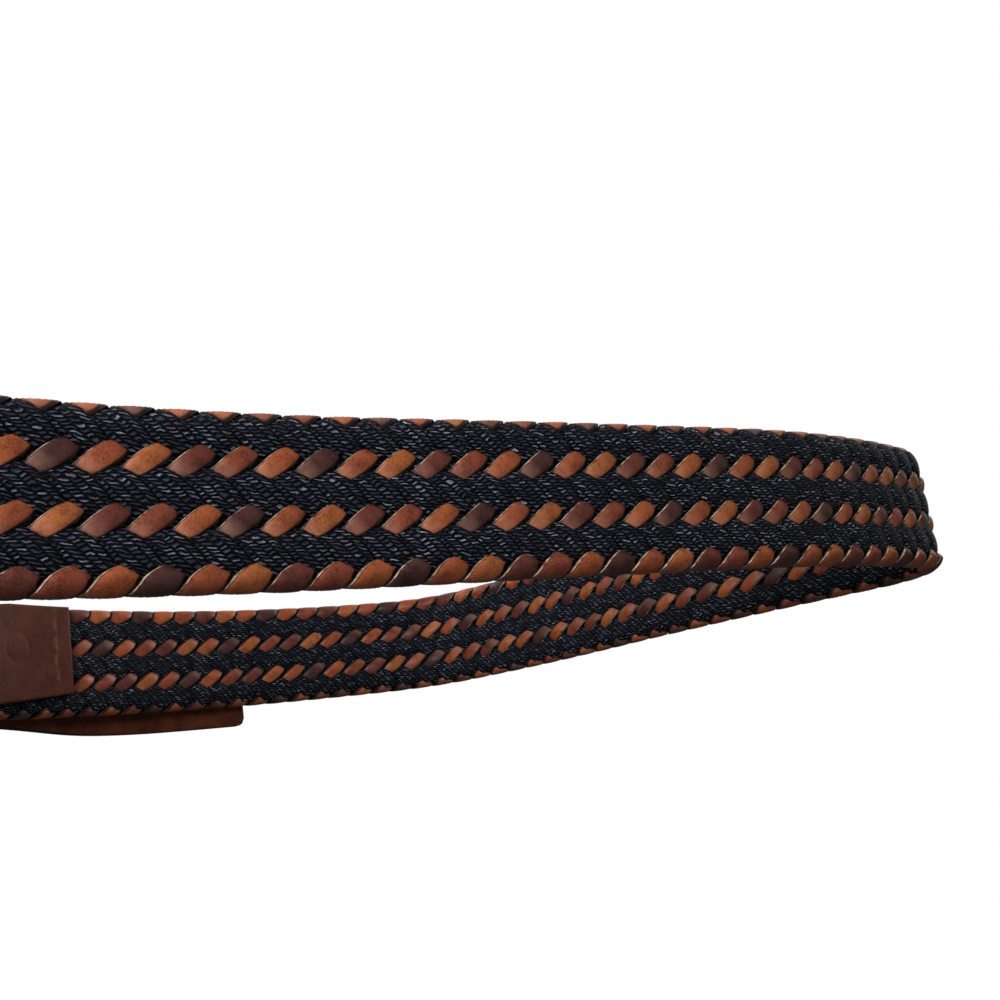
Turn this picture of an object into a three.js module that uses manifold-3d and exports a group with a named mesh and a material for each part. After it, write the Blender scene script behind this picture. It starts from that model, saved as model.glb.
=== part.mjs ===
import * as THREE from 'three';
import { mergeVertices } from 'three/addons/utils/BufferGeometryUtils.js';
import Module from 'manifold-3d';

// A braided belt of leather strips and round cords, fastened, standing on its edge as a loop.
// Millimetres, +Z up across the width of the belt, the loop lies round the Z axis.
// Each piece is given along the belt from the heel bar of the buckle, and out from its middle line.

const wasm = await Module();
wasm.setup();

// The loop
const girth = 922; // once round, along the middle of the braid and through the buckle
const buckleHeading = 109; // degrees from +X to the belt's direction at the buckle
const clearance = 0.3; // between pieces that touch

// The braid, a flattened tube
const braidWidth = 35;
const braidThickness = 6;
const braidColumns = 12; // rows of leather and of cord, in turn, once round the tube
const ribRelief = 0.5; // how far each row stands above the valley beside it
const edgeFlat = 2.2; // level top of the rows that run along both edges

// The folded tab that holds the buckle
const plyThickness = 1.6;
const tabLength = 69; // from the heel bar to its straight end
const tabWidth = 30; // at the buckle
const tabEndWidth = 27.6;
const tabFloorGap = 0.4; // its lower edge on the braid hangs clear of what the belt stands on
const tabSettle = 46; // from the heel bar to where it has come down to that edge
const tabSeam = 38; // from the heel bar to the end of the braid between its plies
const tabRamp = 8; // length over which the plies part to take the braid
const foldLength = 7; // from the heel bar to where the plies lie together

// The strap with the holes, that goes through the buckle
const strapThickness = 3.2;
const strapWidth = 30;
const strapReach = 139; // from the heel bar to its tip
const strapTipHeight = 26.2; // middle of the tip above the surface that the belt stands on
const strapTipGap = 0.8; // between the strap and the braid at the tip
const tipCorner = 2.5; // radius of the two corners of the tip
const strapSeam = 72; // from the heel bar back to the other end of the braid
const strapSleeve = 32; // length of braid held between the strap's two plies
const strapRamp = 10; // length over which the strap thickens to take the braid
const holeDiameter = 5;
const holeStep = 25;
const holeCount = 5;
const prongHole = -6.8; // from the heel bar to the hole that the prong goes through
const holeLength = 7.4; // the hole in use is drawn out long by the prong

// The loop of leather that keeps the strap down
const keeperWidth = 11;
const keeperPlace = 13; // from the heel bar to its near edge
const keeperWall = 1.6;

// The buckle, one plain piece
const buckleLength = 42; // from the heel bar's far edge to the front bar's
const sideBar = 4; // width of each side bar and of the front bar
const heelBar = 3.6;
const frameThickness = 3.2;
const frameBevel = 0.7;
const frameCorner = 7;
const frameSlack = 0.75; // between the side bars and the strap, each side
const frameFloorGap = 0.5; // the frame hangs clear of what the belt stands on
const frontBarOut = 5.5; // how far the front bar stands out from the heel bar
const prongDiameter = 2.8;

// The loop seen from above as arcs, from the heel bar to the left: the share of the girth that
// each takes and the degrees that it turns. The two with no share close the loop.
const beltLine = [
  { stretch: 'behind the heel bar', share: 0.0217, turn: 0 },
  { stretch: 'under the tab', share: 0.0651, turn: 15 },
  { stretch: 'far side, leaving the tab', share: 0.1293, turn: 31.2 },
  { stretch: 'far side, crest', share: 0.0326, turn: 54.1 },
  { stretch: 'far side, falling away', share: 0.0711, turn: 17.3 },
  { stretch: 'far side, hollow', share: 0.1063, turn: -15.6 },
  { stretch: 'tight bend', share: 0.0408, turn: 98.1 },
  { stretch: 'near side, after the bend', share: 0.0779, turn: 17.8 },
  { stretch: 'near side, straight', share: 0.1026, turn: 2.2 },
  { stretch: 'near side, hollow', share: 0.0991, turn: -13.3 },
  { stretch: 'near side, turning in', turn: 30 },
  { stretch: 'round the open end', share: 0.0868, turn: 80 },
  { stretch: 'back to the buckle', turn: 43.2 },
  { stretch: 'strap before the buckle', share: 0.0488, turn: 0 },
];
const longestStep = 24; // between two cross-sections of a strip
const widestTurn = 9; // degrees, between two cross-sections of a strip
const roundSides = 12; // of a hole and of the prong

const braidMiddle = braidWidth / 2;
const strapMiddle = frameFloorGap + sideBar + frameSlack + strapWidth / 2;
const braidSide = braidThickness / 2 + clearance; // inner face of the leather beside the braid
const plyOut = braidSide + plyThickness / 2;
const plyTogether = (plyThickness + clearance) / 2;
const foldRadius = Math.hypot(heelBar, frameThickness) / 2 + clearance + plyThickness / 2;
const overFold = foldRadius + plyThickness / 2 + clearance + strapThickness / 2;
const overTab = plyOut + plyThickness / 2 + clearance + strapThickness / 2;
const overBraid = braidThickness / 2 + strapTipGap + strapThickness / 2;
const frontBar = -(buckleLength - heelBar / 2 - sideBar / 2); // along the belt, at its middle
const underFrontBar = frontBarOut - frameThickness / 2 - clearance - strapThickness / 2;

// Displacement of an arc of length 1 that starts at a heading and turns
function arcRun(heading, turn, length = 1) {
  if (Math.abs(turn) < 1e-9) return new THREE.Vector2(Math.cos(heading), Math.sin(heading)).multiplyScalar(length);
  const radius = length / turn;
  return new THREE.Vector2(
    radius * (Math.sin(heading + turn) - Math.sin(heading)),
    radius * (Math.cos(heading) - Math.cos(heading + turn)),
  );
}

// The table above with its two closing arcs solved, as arcs with a start point and a heading
function solveLine() {
  let heading = THREE.MathUtils.degToRad(buckleHeading);
  const arcs = beltLine.map(({ share, turn }) => {
    const arc = { share, heading, turn: THREE.MathUtils.degToRad(turn) };
    heading += arc.turn;
    return arc;
  });
  const left = new THREE.Vector2();
  arcs.filter((arc) => arc.share).forEach((arc) => left.sub(arcRun(arc.heading, arc.turn, arc.share)));
  const [first, second] = arcs.filter((arc) => !arc.share);
  const a = arcRun(first.heading, first.turn);
  const b = arcRun(second.heading, second.turn);
  first.share = left.cross(b) / a.cross(b);
  second.share = a.cross(left) / a.cross(b);
  const scale = girth / arcs.reduce((sum, arc) => sum + arc.share, 0);
  const point = new THREE.Vector2();
  let start = 0;
  for (const arc of arcs) {
    arc.length = arc.share * scale;
    arc.start = start;
    arc.point = point.clone();
    point.add(arcRun(arc.heading, arc.turn, arc.length));
    start += arc.length;
  }
  return arcs;
}
const arcs = solveLine();

// A point on the belt: along it from the heel bar, out from its middle line, and up
function onBelt(along, out, up) {
  const run = ((along % girth) + girth) % girth;
  const arc = arcs.findLast((candidate) => candidate.start <= run);
  const part = (run - arc.start) / arc.length;
  const spot = arcRun(arc.heading, arc.turn * part, run - arc.start).add(arc.point);
  const heading = arc.heading + arc.turn * part;
  return new THREE.Vector3(spot.x + Math.sin(heading) * out, spot.y - Math.cos(heading) * out, up);
}

// Places along the belt for cross-sections, close together where it bends, with the given knots
function places(from, to, knots = []) {
  const found = [from, to, ...knots.filter((knot) => knot > from && knot < to)];
  for (const lap of [-girth, 0]) {
    for (const arc of arcs) {
      const count = Math.ceil(Math.max(arc.length / longestStep, Math.abs(arc.turn) / THREE.MathUtils.degToRad(widestTurn)));
      for (let i = 0; i < count; i++) found.push(lap + arc.start + (arc.length * i) / count);
    }
  }
  const sorted = found.filter((along) => along >= from && along <= to).sort((p, q) => p - q);
  return sorted.filter((along, i) => i === 0 || along - sorted[i - 1] > 1 || knots.includes(along) || along === to);
}

// Straight line between the rows of a table with the named column, by place along the belt
function between(rows, column, along) {
  const next = rows.findIndex((row) => row.along >= along);
  if (next === 0) return rows[0][column];
  if (next < 0) return rows[rows.length - 1][column];
  const [p, q] = [rows[next - 1], rows[next]];
  return THREE.MathUtils.mapLinear(along, p.along, q.along, p[column], q[column]);
}

// Vertices shared and faces out, with position alone left
function closed(geometry) {
  geometry.deleteAttribute('normal');
  geometry.deleteAttribute('uv');
  const merged = mergeVertices(geometry, 1e-3);
  const index = merged.index.array;
  const [p, q, r] = [new THREE.Vector3(), new THREE.Vector3(), new THREE.Vector3()];
  let volume = 0;
  for (let i = 0; i < index.length; i += 3) {
    p.fromBufferAttribute(merged.attributes.position, index[i]);
    q.fromBufferAttribute(merged.attributes.position, index[i + 1]);
    r.fromBufferAttribute(merged.attributes.position, index[i + 2]);
    volume += p.dot(q.cross(r));
  }
  if (volume < 0) for (let i = 0; i < index.length; i += 3) [index[i], index[i + 1]] = [index[i + 1], index[i]];
  return merged;
}

function toSolid(geometry) {
  const solid = closed(geometry);
  return new wasm.Manifold(new wasm.Mesh({
    numProp: 3,
    vertProperties: new Float32Array(solid.attributes.position.array),
    triVerts: new Uint32Array(solid.index.array),
  }));
}

function toGeometry(solid) {
  const mesh = solid.getMesh();
  const geometry = new THREE.BufferGeometry();
  geometry.setAttribute('position', new THREE.BufferAttribute(new Float32Array(mesh.vertProperties), 3));
  geometry.setIndex(new THREE.BufferAttribute(new Uint32Array(mesh.triVerts), 1));
  return geometry;
}

// Moves every vertex of a geometry by a function that gives its place on the belt
function bend(geometry, toPlace) {
  const position = geometry.attributes.position;
  for (let i = 0; i < position.count; i++) {
    const spot = toPlace(position.getX(i), position.getY(i), position.getZ(i));
    position.setXYZ(i, spot.x, spot.y, spot.z);
  }
  return geometry;
}

// A strip: the section, x across its thickness and y up its width, extruded straight and then
// laid on the belt, where each cross-section has its own station
function strip(section, stations) {
  const steps = stations.length - 1;
  const straight = new THREE.ExtrudeGeometry(section, { steps, depth: steps, bevelEnabled: false });
  return bend(straight, (x, y, z) => {
    const station = stations[Math.round(z)];
    const across = x * (station.thick ?? 1);
    const [faceAlong, faceOut] = station.face ?? [0, 1];
    const up = station.middle + y * (station.width ?? 1);
    return onBelt(station.along + faceAlong * across, station.out + faceOut * across, up);
  });
}

// Flat leather: thickness in millimetres, width as shares from -0.5 to 0.5, edges eased
function leatherSection(thickness, width) {
  const ease = 0.3 * thickness;
  const [x, y] = [thickness / 2, 0.5];
  const drop = ease / width;
  return new THREE.Shape([
    new THREE.Vector2(x - ease, -y), new THREE.Vector2(x, drop - y),
    new THREE.Vector2(x, y - drop), new THREE.Vector2(x - ease, y),
    new THREE.Vector2(ease - x, y), new THREE.Vector2(-x, y - drop),
    new THREE.Vector2(-x, drop - y), new THREE.Vector2(ease - x, -y),
  ]);
}

// The flattened tube with a rib for each row of the braid, from the middle of its lower edge
function braidSection() {
  const round = braidThickness / 2;
  const flat = braidWidth - braidThickness;
  const wallMiddle = round / 2;
  const quarter = (Math.PI / 2) * wallMiddle;
  const column = (2 * flat + 4 * quarter) / braidColumns;
  const outline = (row, deep) => {
    const half = braidColumns / 2;
    const side = row > half ? -1 : 1;
    const run = (row > half ? braidColumns - row : Math.abs(row)) * column;
    const reach = round - deep;
    const turn = Math.min(run, quarter) / wallMiddle + Math.max(run - quarter - flat, 0) / wallMiddle;
    const rise = THREE.MathUtils.clamp(run - quarter, 0, flat) - flat / 2;
    return new THREE.Vector2(side * Math.sign(row || 1) * reach * Math.sin(turn), rise - reach * Math.cos(turn));
  };
  const points = [];
  for (let row = 0; row < braidColumns; row++) {
    const edge = { 0: -1, [braidColumns / 2]: 1 }[row];
    points.push(outline(row - 0.25, 0));
    if (edge) {
      points.push(new THREE.Vector2((edge * edgeFlat) / 2, (edge * braidWidth) / 2));
      points.push(new THREE.Vector2((-edge * edgeFlat) / 2, (edge * braidWidth) / 2));
    }
    points.push(outline(row + 0.25, 0), outline(row + 0.5, ribRelief));
  }
  return new THREE.Shape(points);
}

function braidedBand() {
  const stations = places(tabSeam + clearance, girth - strapSeam - clearance).map((along) => (
    { along, out: 0, middle: braidMiddle }
  ));
  return strip(braidSection(), stations);
}

// Middle of the tab above the surface and its width: it comes down from the buckle to its edge
const tabRows = [
  { along: 0, middle: strapMiddle, width: tabWidth },
  { along: tabSettle, middle: tabFloorGap + tabWidth / 2, width: tabWidth },
  { along: tabLength, middle: tabFloorGap + tabEndWidth / 2, width: tabEndWidth },
];
const plyRows = [
  { along: 0, out: foldRadius },
  { along: foldLength, out: plyTogether },
  { along: tabSeam - tabRamp, out: plyTogether },
  { along: tabSeam, out: plyOut },
];

function buckleTab() {
  const knots = [foldLength, tabSeam - tabRamp, tabSeam, tabSettle];
  const station = (along, out, face) => ({
    along, out, face,
    middle: between(tabRows, 'middle', along),
    width: between(tabRows, 'width', along),
  });
  const outer = places(0, tabLength, knots).map((along) => station(along, between(plyRows, 'out', along), [0, 1]));
  const inner = places(0, tabLength, knots).map((along) => station(along, -between(plyRows, 'out', along), [0, -1]));
  const fold = [];
  for (let i = 1; i < roundSides / 2; i++) {
    const angle = Math.PI / 2 + (2 * Math.PI * i) / roundSides;
    const face = [Math.cos(angle), Math.sin(angle)];
    fold.push({ ...station(foldRadius * face[0], foldRadius * face[1], face), middle: strapMiddle, width: tabWidth });
  }
  const leather = toSolid(strip(leatherSection(plyThickness, tabWidth), [...outer.reverse(), ...fold, ...inner]));
  const slotWidth = prongDiameter + 2 * clearance;
  const slotDepth = 2 * overFold;
  const slotLength = foldRadius + plyThickness + foldLength;
  const slot = new THREE.BoxGeometry(slotLength, slotDepth, slotWidth);
  slot.translate(foldLength - slotLength / 2, 0, strapMiddle);
  return toGeometry(leather.subtract(toSolid(bend(slot, onBelt))));
}

// The strap from the sleeve on the braid, through the buckle and over the tab, to its tip
// rise is the share of the way up from the buckle's middle to the tip's
const strapRows = [
  { along: -strapSeam, out: 0, middle: braidMiddle },
  { along: frontBar - sideBar, out: underFrontBar, rise: 0 },
  { along: frontBar + sideBar, out: underFrontBar, rise: 0 },
  { along: -foldRadius - plyThickness, out: overFold, rise: 0 },
  { along: 0, out: overFold, rise: 0 },
  { along: tabSeam, out: overTab, rise: 0 },
  { along: tabLength - strapWidth / 4, out: overTab, rise: 0.4 },
  { along: tabLength + strapWidth / 4, out: overTab, rise: 0.8 },
  { along: tabLength + strapWidth, out: (overTab + overBraid) / 2, rise: 0.97 },
  { along: strapReach, out: overBraid, rise: 1 },
].map((row) => ({ middle: THREE.MathUtils.lerp(strapMiddle, strapTipHeight, row.rise), ...row }));
const sleeveThickness = 2 * (plyOut + plyThickness / 2);
const strapThickRows = [
  { along: clearance - strapSeam, thickness: sleeveThickness },
  { along: strapRamp - strapSeam, thickness: strapThickness },
];

function holePlaces() {
  return Array.from({ length: holeCount }, (_, i) => prongHole + holeStep * (i - (holeCount - 1) / 2));
}

function tipStrap() {
  const corner = [];
  for (let i = 0; i < 4; i++) {
    const angle = (Math.PI / 2) * (i / 4);
    corner.push({ along: strapReach - tipCorner * (1 - Math.sin(angle)), inset: tipCorner * (1 - Math.cos(angle)) });
  }
  corner.push({ along: strapReach, inset: tipCorner });
  const knots = [...strapRows, ...strapThickRows, ...corner].map((row) => row.along);
  const stations = places(-strapSeam - strapSleeve, strapReach, knots).map((along) => ({
    along,
    out: between(strapRows, 'out', along),
    middle: between(strapRows, 'middle', along),
    width: strapWidth - 2 * between(corner, 'inset', along),
    thick: between(strapThickRows, 'thickness', along) / strapThickness,
  }));
  let strap = toSolid(strip(leatherSection(strapThickness, strapWidth), stations));

  const pocketEnd = -strapSeam;
  const pocketSection = new THREE.Shape([
    new THREE.Vector2(-braidSide, -braidWidth), new THREE.Vector2(braidSide, -braidWidth),
    new THREE.Vector2(braidSide, braidWidth), new THREE.Vector2(-braidSide, braidWidth),
  ]);
  const pocketStations = places(pocketEnd - strapSleeve - longestStep, pocketEnd).map((along) => (
    { along, out: 0, middle: braidMiddle }
  ));
  strap = strap.subtract(toSolid(strip(pocketSection, pocketStations)));

  for (const along of holePlaces()) {
    const hole = new THREE.CylinderGeometry(holeDiameter / 2, holeDiameter / 2, 3 * strapThickness, roundSides);
    const stretch = along === prongHole ? holeLength / holeDiameter : 1;
    const [out, middle] = [between(strapRows, 'out', along), between(strapRows, 'middle', along)];
    bend(hole, (x, y, z) => onBelt(along + x * stretch, out + y, middle + z));
    strap = strap.subtract(toSolid(hole));
  }
  return toGeometry(strap);
}

// A ring of leather round the tab and the strap
function keeperLoop() {
  const [near, far] = [keeperPlace, keeperPlace + keeperWidth];
  const strapTop = between(strapRows, 'middle', far) + strapWidth / 2;
  const tabFoot = between(tabRows, 'middle', far) - tabWidth / 2;
  const inside = {
    inner: -plyTogether - plyThickness / 2 - clearance,
    outer: between(strapRows, 'out', far) + strapThickness / 2 + clearance,
    low: tabFoot - clearance,
    high: strapTop + clearance,
  };
  const depth = inside.outer - inside.inner;
  const height = inside.high - inside.low;
  const middle = (inside.inner + inside.outer) / 2;
  const [wall, round] = [2 * keeperWall, keeperWall + clearance];
  const ring = roundedRectangle(new THREE.Shape(), middle, depth + wall, height + wall, round);
  ring.holes.push(roundedRectangle(new THREE.Path(), middle, depth, height, clearance));
  const straight = new THREE.ExtrudeGeometry(ring, { depth: keeperWidth, curveSegments: 3, bevelEnabled: false });
  const up = (inside.low + inside.high) / 2;
  return closed(bend(straight, (x, y, z) => onBelt(near + z, x, up + y)));
}

// A rounded rectangle as a path, middle at the given place
function roundedRectangle(target, middle, length, height, radius) {
  const [x, y] = [length / 2, height / 2];
  target.moveTo(middle - x + radius, -y);
  target.absarc(middle + x - radius, radius - y, radius, -Math.PI / 2, 0);
  target.absarc(middle + x - radius, y - radius, radius, 0, Math.PI / 2);
  target.absarc(middle - x + radius, y - radius, radius, Math.PI / 2, Math.PI);
  target.absarc(middle - x + radius, radius - y, radius, Math.PI, 1.5 * Math.PI);
  return target;
}

function buckle() {
  const window = strapWidth + 2 * frameSlack;
  const height = window + 2 * sideBar;
  const heelEdge = heelBar / 2;
  const middle = heelEdge - buckleLength / 2;
  const windowLength = buckleLength - heelBar - sideBar;
  const windowMiddle = heelEdge - heelBar - windowLength / 2;
  const grow = frameBevel;
  const outline = roundedRectangle(new THREE.Shape(), middle, buckleLength - 2 * grow, height - 2 * grow, frameCorner);
  const hole = roundedRectangle(new THREE.Path(), windowMiddle, windowLength + 2 * grow, window + 2 * grow, 2 * grow);
  outline.holes.push(hole);
  const plate = new THREE.ExtrudeGeometry(outline, {
    depth: frameThickness - 2 * grow, curveSegments: 5,
    bevelThickness: grow, bevelSize: grow, bevelSegments: 2,
  });
  const slope = frontBarOut / frontBar;
  bend(plate, (x, y, z) => onBelt(x, slope * x + z + grow - frameThickness / 2, strapMiddle + y));

  const prongRadius = prongDiameter / 2;
  const overStrap = overFold + strapThickness / 2 + clearance + prongRadius;
  const overBar = frontBarOut + frameThickness / 2 + prongRadius / 2;
  const route = new THREE.CatmullRomCurve3([
    { along: 0, out: 0 },
    { along: prongHole + prongDiameter, out: foldRadius * 0.4 },
    { along: prongHole, out: overFold },
    { along: prongHole - prongDiameter, out: overStrap + clearance },
    { along: frontBar / 2, out: overStrap + 2 * clearance },
    { along: frontBar - sideBar / 2, out: overBar },
  ].map((row) => new THREE.Vector3(row.along, row.out, 0)), false, 'centripetal');
  const round = new THREE.Shape().absarc(0, 0, prongRadius, 0, 2 * Math.PI);
  const prong = new THREE.ExtrudeGeometry(round, { steps: 20, curveSegments: roundSides, extrudePath: route });
  bend(prong, (x, y, z) => onBelt(x, y, strapMiddle + z));
  return toGeometry(toSolid(plate).add(toSolid(prong)));
}

const leatherBrown = new THREE.MeshStandardMaterial({ color: 0x4a281c, roughness: 0.55, metalness: 0 });
const braidMix = new THREE.MeshStandardMaterial({ color: 0x5a3a34, roughness: 0.6, metalness: 0 });
const strapBrown = new THREE.MeshStandardMaterial({ color: 0x3a1c12, roughness: 0.5, metalness: 0 });
const brushedSteel = new THREE.MeshStandardMaterial({ color: 0x9a9890, roughness: 0.35, metalness: 1 });

const belt = new THREE.Group();
const pieces = [
  { name: 'braided_band', geometry: closed(braidedBand()), material: braidMix },
  { name: 'buckle_tab', geometry: buckleTab(), material: leatherBrown },
  { name: 'keeper_loop', geometry: keeperLoop(), material: leatherBrown },
  { name: 'buckle', geometry: buckle(), material: brushedSteel },
  { name: 'tip_strap', geometry: tipStrap(), material: strapBrown },
];
for (const { name, geometry, material } of pieces) {
  const mesh = new THREE.Mesh(geometry, material);
  mesh.name = name;
  belt.add(mesh);
}

// The origin is under the middle of the loop, on the surface that the belt stands on
const box = new THREE.Box3().setFromObject(belt);
const centre = box.getCenter(new THREE.Vector3());
belt.position.set(-centre.x, -centre.y, -box.min.z);

export default belt;
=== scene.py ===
import math

import bmesh
import bpy
import numpy as np
from mathutils import Matrix, Vector


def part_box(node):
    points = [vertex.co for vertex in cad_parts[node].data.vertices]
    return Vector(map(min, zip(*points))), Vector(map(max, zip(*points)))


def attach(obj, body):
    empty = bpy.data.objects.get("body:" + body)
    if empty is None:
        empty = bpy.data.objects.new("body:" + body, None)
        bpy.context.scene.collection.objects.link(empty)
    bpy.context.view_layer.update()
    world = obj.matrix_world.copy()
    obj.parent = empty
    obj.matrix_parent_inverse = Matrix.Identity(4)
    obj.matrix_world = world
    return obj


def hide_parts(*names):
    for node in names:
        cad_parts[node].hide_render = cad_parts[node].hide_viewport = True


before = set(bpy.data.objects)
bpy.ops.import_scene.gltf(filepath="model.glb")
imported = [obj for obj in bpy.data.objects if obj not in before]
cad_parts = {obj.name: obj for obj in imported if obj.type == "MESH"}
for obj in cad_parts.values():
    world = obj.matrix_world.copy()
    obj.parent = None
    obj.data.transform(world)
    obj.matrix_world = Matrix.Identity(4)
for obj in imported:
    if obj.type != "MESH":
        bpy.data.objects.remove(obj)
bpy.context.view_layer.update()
mm = 0.001  # the belt is worked out in millimetres and laid down in metres

# the loop seen from above, from the heel bar on: share of the length and degrees of turn
loop = {
    "length": 922,
    "heading": 109,  # degrees, where the buckle sits
    "arcs": [
        {"share": 0.0217, "turn": 0},
        {"share": 0.0651, "turn": 15},
        {"share": 0.1293, "turn": 31.2},
        {"share": 0.0326, "turn": 54.1},
        {"share": 0.0711, "turn": 17.3},
        {"share": 0.1063, "turn": -15.6},
        {"share": 0.0408, "turn": 98.1},
        {"share": 0.0779, "turn": 17.8},
        {"share": 0.1026, "turn": 2.2},
        {"share": 0.0991, "turn": -13.3},
        {"share": None, "turn": 30},  # the two open shares close the loop
        {"share": 0.0868, "turn": 80},
        {"share": None, "turn": 43.2},
        {"share": 0.0488, "turn": 0},
    ],
}


def arcRun(heading, turn, length):  # how far an arc goes, for numbers or arrays
    turn = np.where(np.abs(turn) < 1e-9, 1e-9, turn)
    radius = length / turn
    return np.array([
        radius * (np.sin(heading + turn) - np.sin(heading)),
        radius * (np.cos(heading) - np.cos(heading + turn)),
    ])


def solveLoop():
    heading = math.radians(loop["heading"])
    arcs = []
    for row in loop["arcs"]:
        turn = math.radians(row["turn"])
        arcs.append({"share": row["share"], "heading": heading, "turn": turn})
        heading += turn
    known = [arc for arc in arcs if arc["share"]]
    openArcs = [arc for arc in arcs if not arc["share"]]
    gap = -sum(arcRun(arc["heading"], arc["turn"], arc["share"]) for arc in known)
    sides = np.array([arcRun(arc["heading"], arc["turn"], 1) for arc in openArcs]).T
    for arc, share in zip(openArcs, np.linalg.solve(sides, gap)):
        arc["share"] = share
    scale = loop["length"] / sum(arc["share"] for arc in arcs)
    start, point = 0, np.zeros(2)
    for arc in arcs:
        arc.update(start=start, point=point, length=arc["share"] * scale)
        point = point + arcRun(arc["heading"], arc["turn"], arc["length"])
        start += arc["length"]
    return {key: np.array([arc[key] for arc in arcs]) for key in arcs[0]}


arcs = solveLoop()


def onBelt(along, out, up):  # arrays in millimetres, measured on the belt, to points
    run = np.mod(along, loop["length"])
    index = np.searchsorted(arcs["start"], run, side="right") - 1
    part = run - arcs["start"][index]
    turn = arcs["turn"][index] * part / arcs["length"][index]
    heading = arcs["heading"][index] + turn
    spot = arcs["point"][index].T + arcRun(arcs["heading"][index], turn, part)
    x = spot[0] + np.sin(heading) * out
    y = spot[1] - np.cos(heading) * out
    return np.stack([x, y, np.broadcast_to(up, x.shape)], axis=-1)


# the braid, a flattened tube of leather strips and cords over two and under two
braid = {
    "width": 35,
    "thickness": 6,
    "columns": 12,  # rows once round the tube, leather and cord in turn
    "turned": -0.22,  # rows that the tube is turned by, so the edges fall beside a row
    "pitch": 8.28,  # along the belt, from one piece of leather to the next
    "start": 38.6,  # from the heel bar, inside the tab
    "end": 849.4,  # inside the strap's sleeve
    "pressed": (2.6, 0.25),  # past this height its two edges are pressed down to a quarter
}
strip = {
    "width": 4.45,
    "thickness": 1.3,
    "lift": (1.2, 0.8),  # over the cords and under them
    "squareness": 0.5,  # how flat it stays between its two dives
    "early": 0.28,  # how much sooner it dives than the cords do
    "atEdge": 0.5,  # how much more it is over where it turns round an edge of the belt
    "pinch": 0.16,  # share of the width that it loses where it dives
    "spread": 0.2,  # share that it gains round an edge of the belt
    "roll": 7,  # degrees, so each strip laps its neighbour like a shingle
    "perWave": 26,  # cross-sections from one dive to the next but one
}
cord = {
    "width": 1.14,  # share of the pitch: soft cords swell until they touch
    "thickness": 2.3,
    "lift": (0.75, 1.0),
    "squareness": 1.3,
    "early": 0,
    "atEdge": -0.8,
    "sway": 0.45,  # share by which it runs steeper where it shows
    "fullness": 0.78,  # 1 for an ellipse, less for squarer
    "sides": 12,
    "perWave": 28,
}
# across and height, as shares of half the width and half the thickness, round a cut strip:
# the slanting cut comes first, then the grain side, the other edge and the flesh side
stripProfile = [
    (-1.04, -0.80), (-0.95, 0.45), (-0.86, 0.78), (-0.64, 1.02), (-0.38, 1.15), (-0.10, 1.20), (0.20, 1.17),
    (0.46, 1.04), (0.68, 0.85), (0.87, 0.50), (0.97, 0.08), (0.99, -0.50), (0.55, -1.00), (-0.60, -1.00),
]

wallMiddle = braid["thickness"] / 4
flat = braid["width"] - braid["thickness"]
quarter = math.pi / 2 * wallMiddle
column = (2 * flat + 4 * quarter) / braid["columns"]
slant = math.atan(column / braid["pitch"])
middle = braid["width"] / 2


def nearEdge(row):  # 1 on either edge of the belt, 0 on its faces
    away = np.mod(row + braid["turned"] + braid["columns"] / 4, braid["columns"] / 2) - braid["columns"] / 4
    return np.exp(-(away / 0.6) ** 2)


def aroundTube(row, lift):  # row in columns from the lower edge, lift from the wall's middle
    row = np.mod(row + braid["turned"], braid["columns"])
    half = braid["columns"] / 2
    side = np.where(row > half, -1.0, 1.0)
    run = np.where(row > half, braid["columns"] - row, row) * column
    turn = (np.minimum(run, quarter) + np.maximum(run - quarter - flat, 0)) / wallMiddle
    rise = np.clip(run - quarter, 0, flat) - flat / 2
    reach = wallMiddle + lift
    limit, share = braid["pressed"]
    pressed = np.minimum(reach, limit + share * (reach - limit))
    outward = reach - (reach - pressed) * np.abs(np.cos(turn))
    return side * outward * np.sin(turn), middle + rise - pressed * np.cos(turn)


def wave(look, row):  # 1 on top of the other strands, about -1 below them
    soft = np.tanh(look["squareness"] * np.cos(math.pi * row)) / math.tanh(look["squareness"])
    return (soft - look["early"]) / (1 - look["early"])


def level(over, lift):  # height of a strand's middle, given over and under
    return np.where(over > 0, lift[0], lift[1]) * over


def slowNoise(seed, along, step, size):  # smooth small unevenness along a strand
    rng = np.random.default_rng(seed)
    knots = np.arange(-loop["length"], loop["length"] + step, step)
    return np.interp(along, knots, rng.uniform(-size, size, knots.size))


shift = [0.0, 0.0]  # the solids' origin is under the middle of their box


def matchFrame():
    along = np.arange(braid["start"], braid["end"], 0.5)
    edges = [onBelt(along, side * braid["thickness"] / 2, middle) for side in (-1, 1)]
    edges = np.concatenate(edges)
    low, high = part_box("braided_band")
    for axis in (0, 1):
        here = (edges[:, axis].min() + edges[:, axis].max()) / 2
        shift[axis] = (low[axis] + high[axis]) / 2 / mm - here


matchFrame()
print("loop solved, shift", shift)


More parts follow.
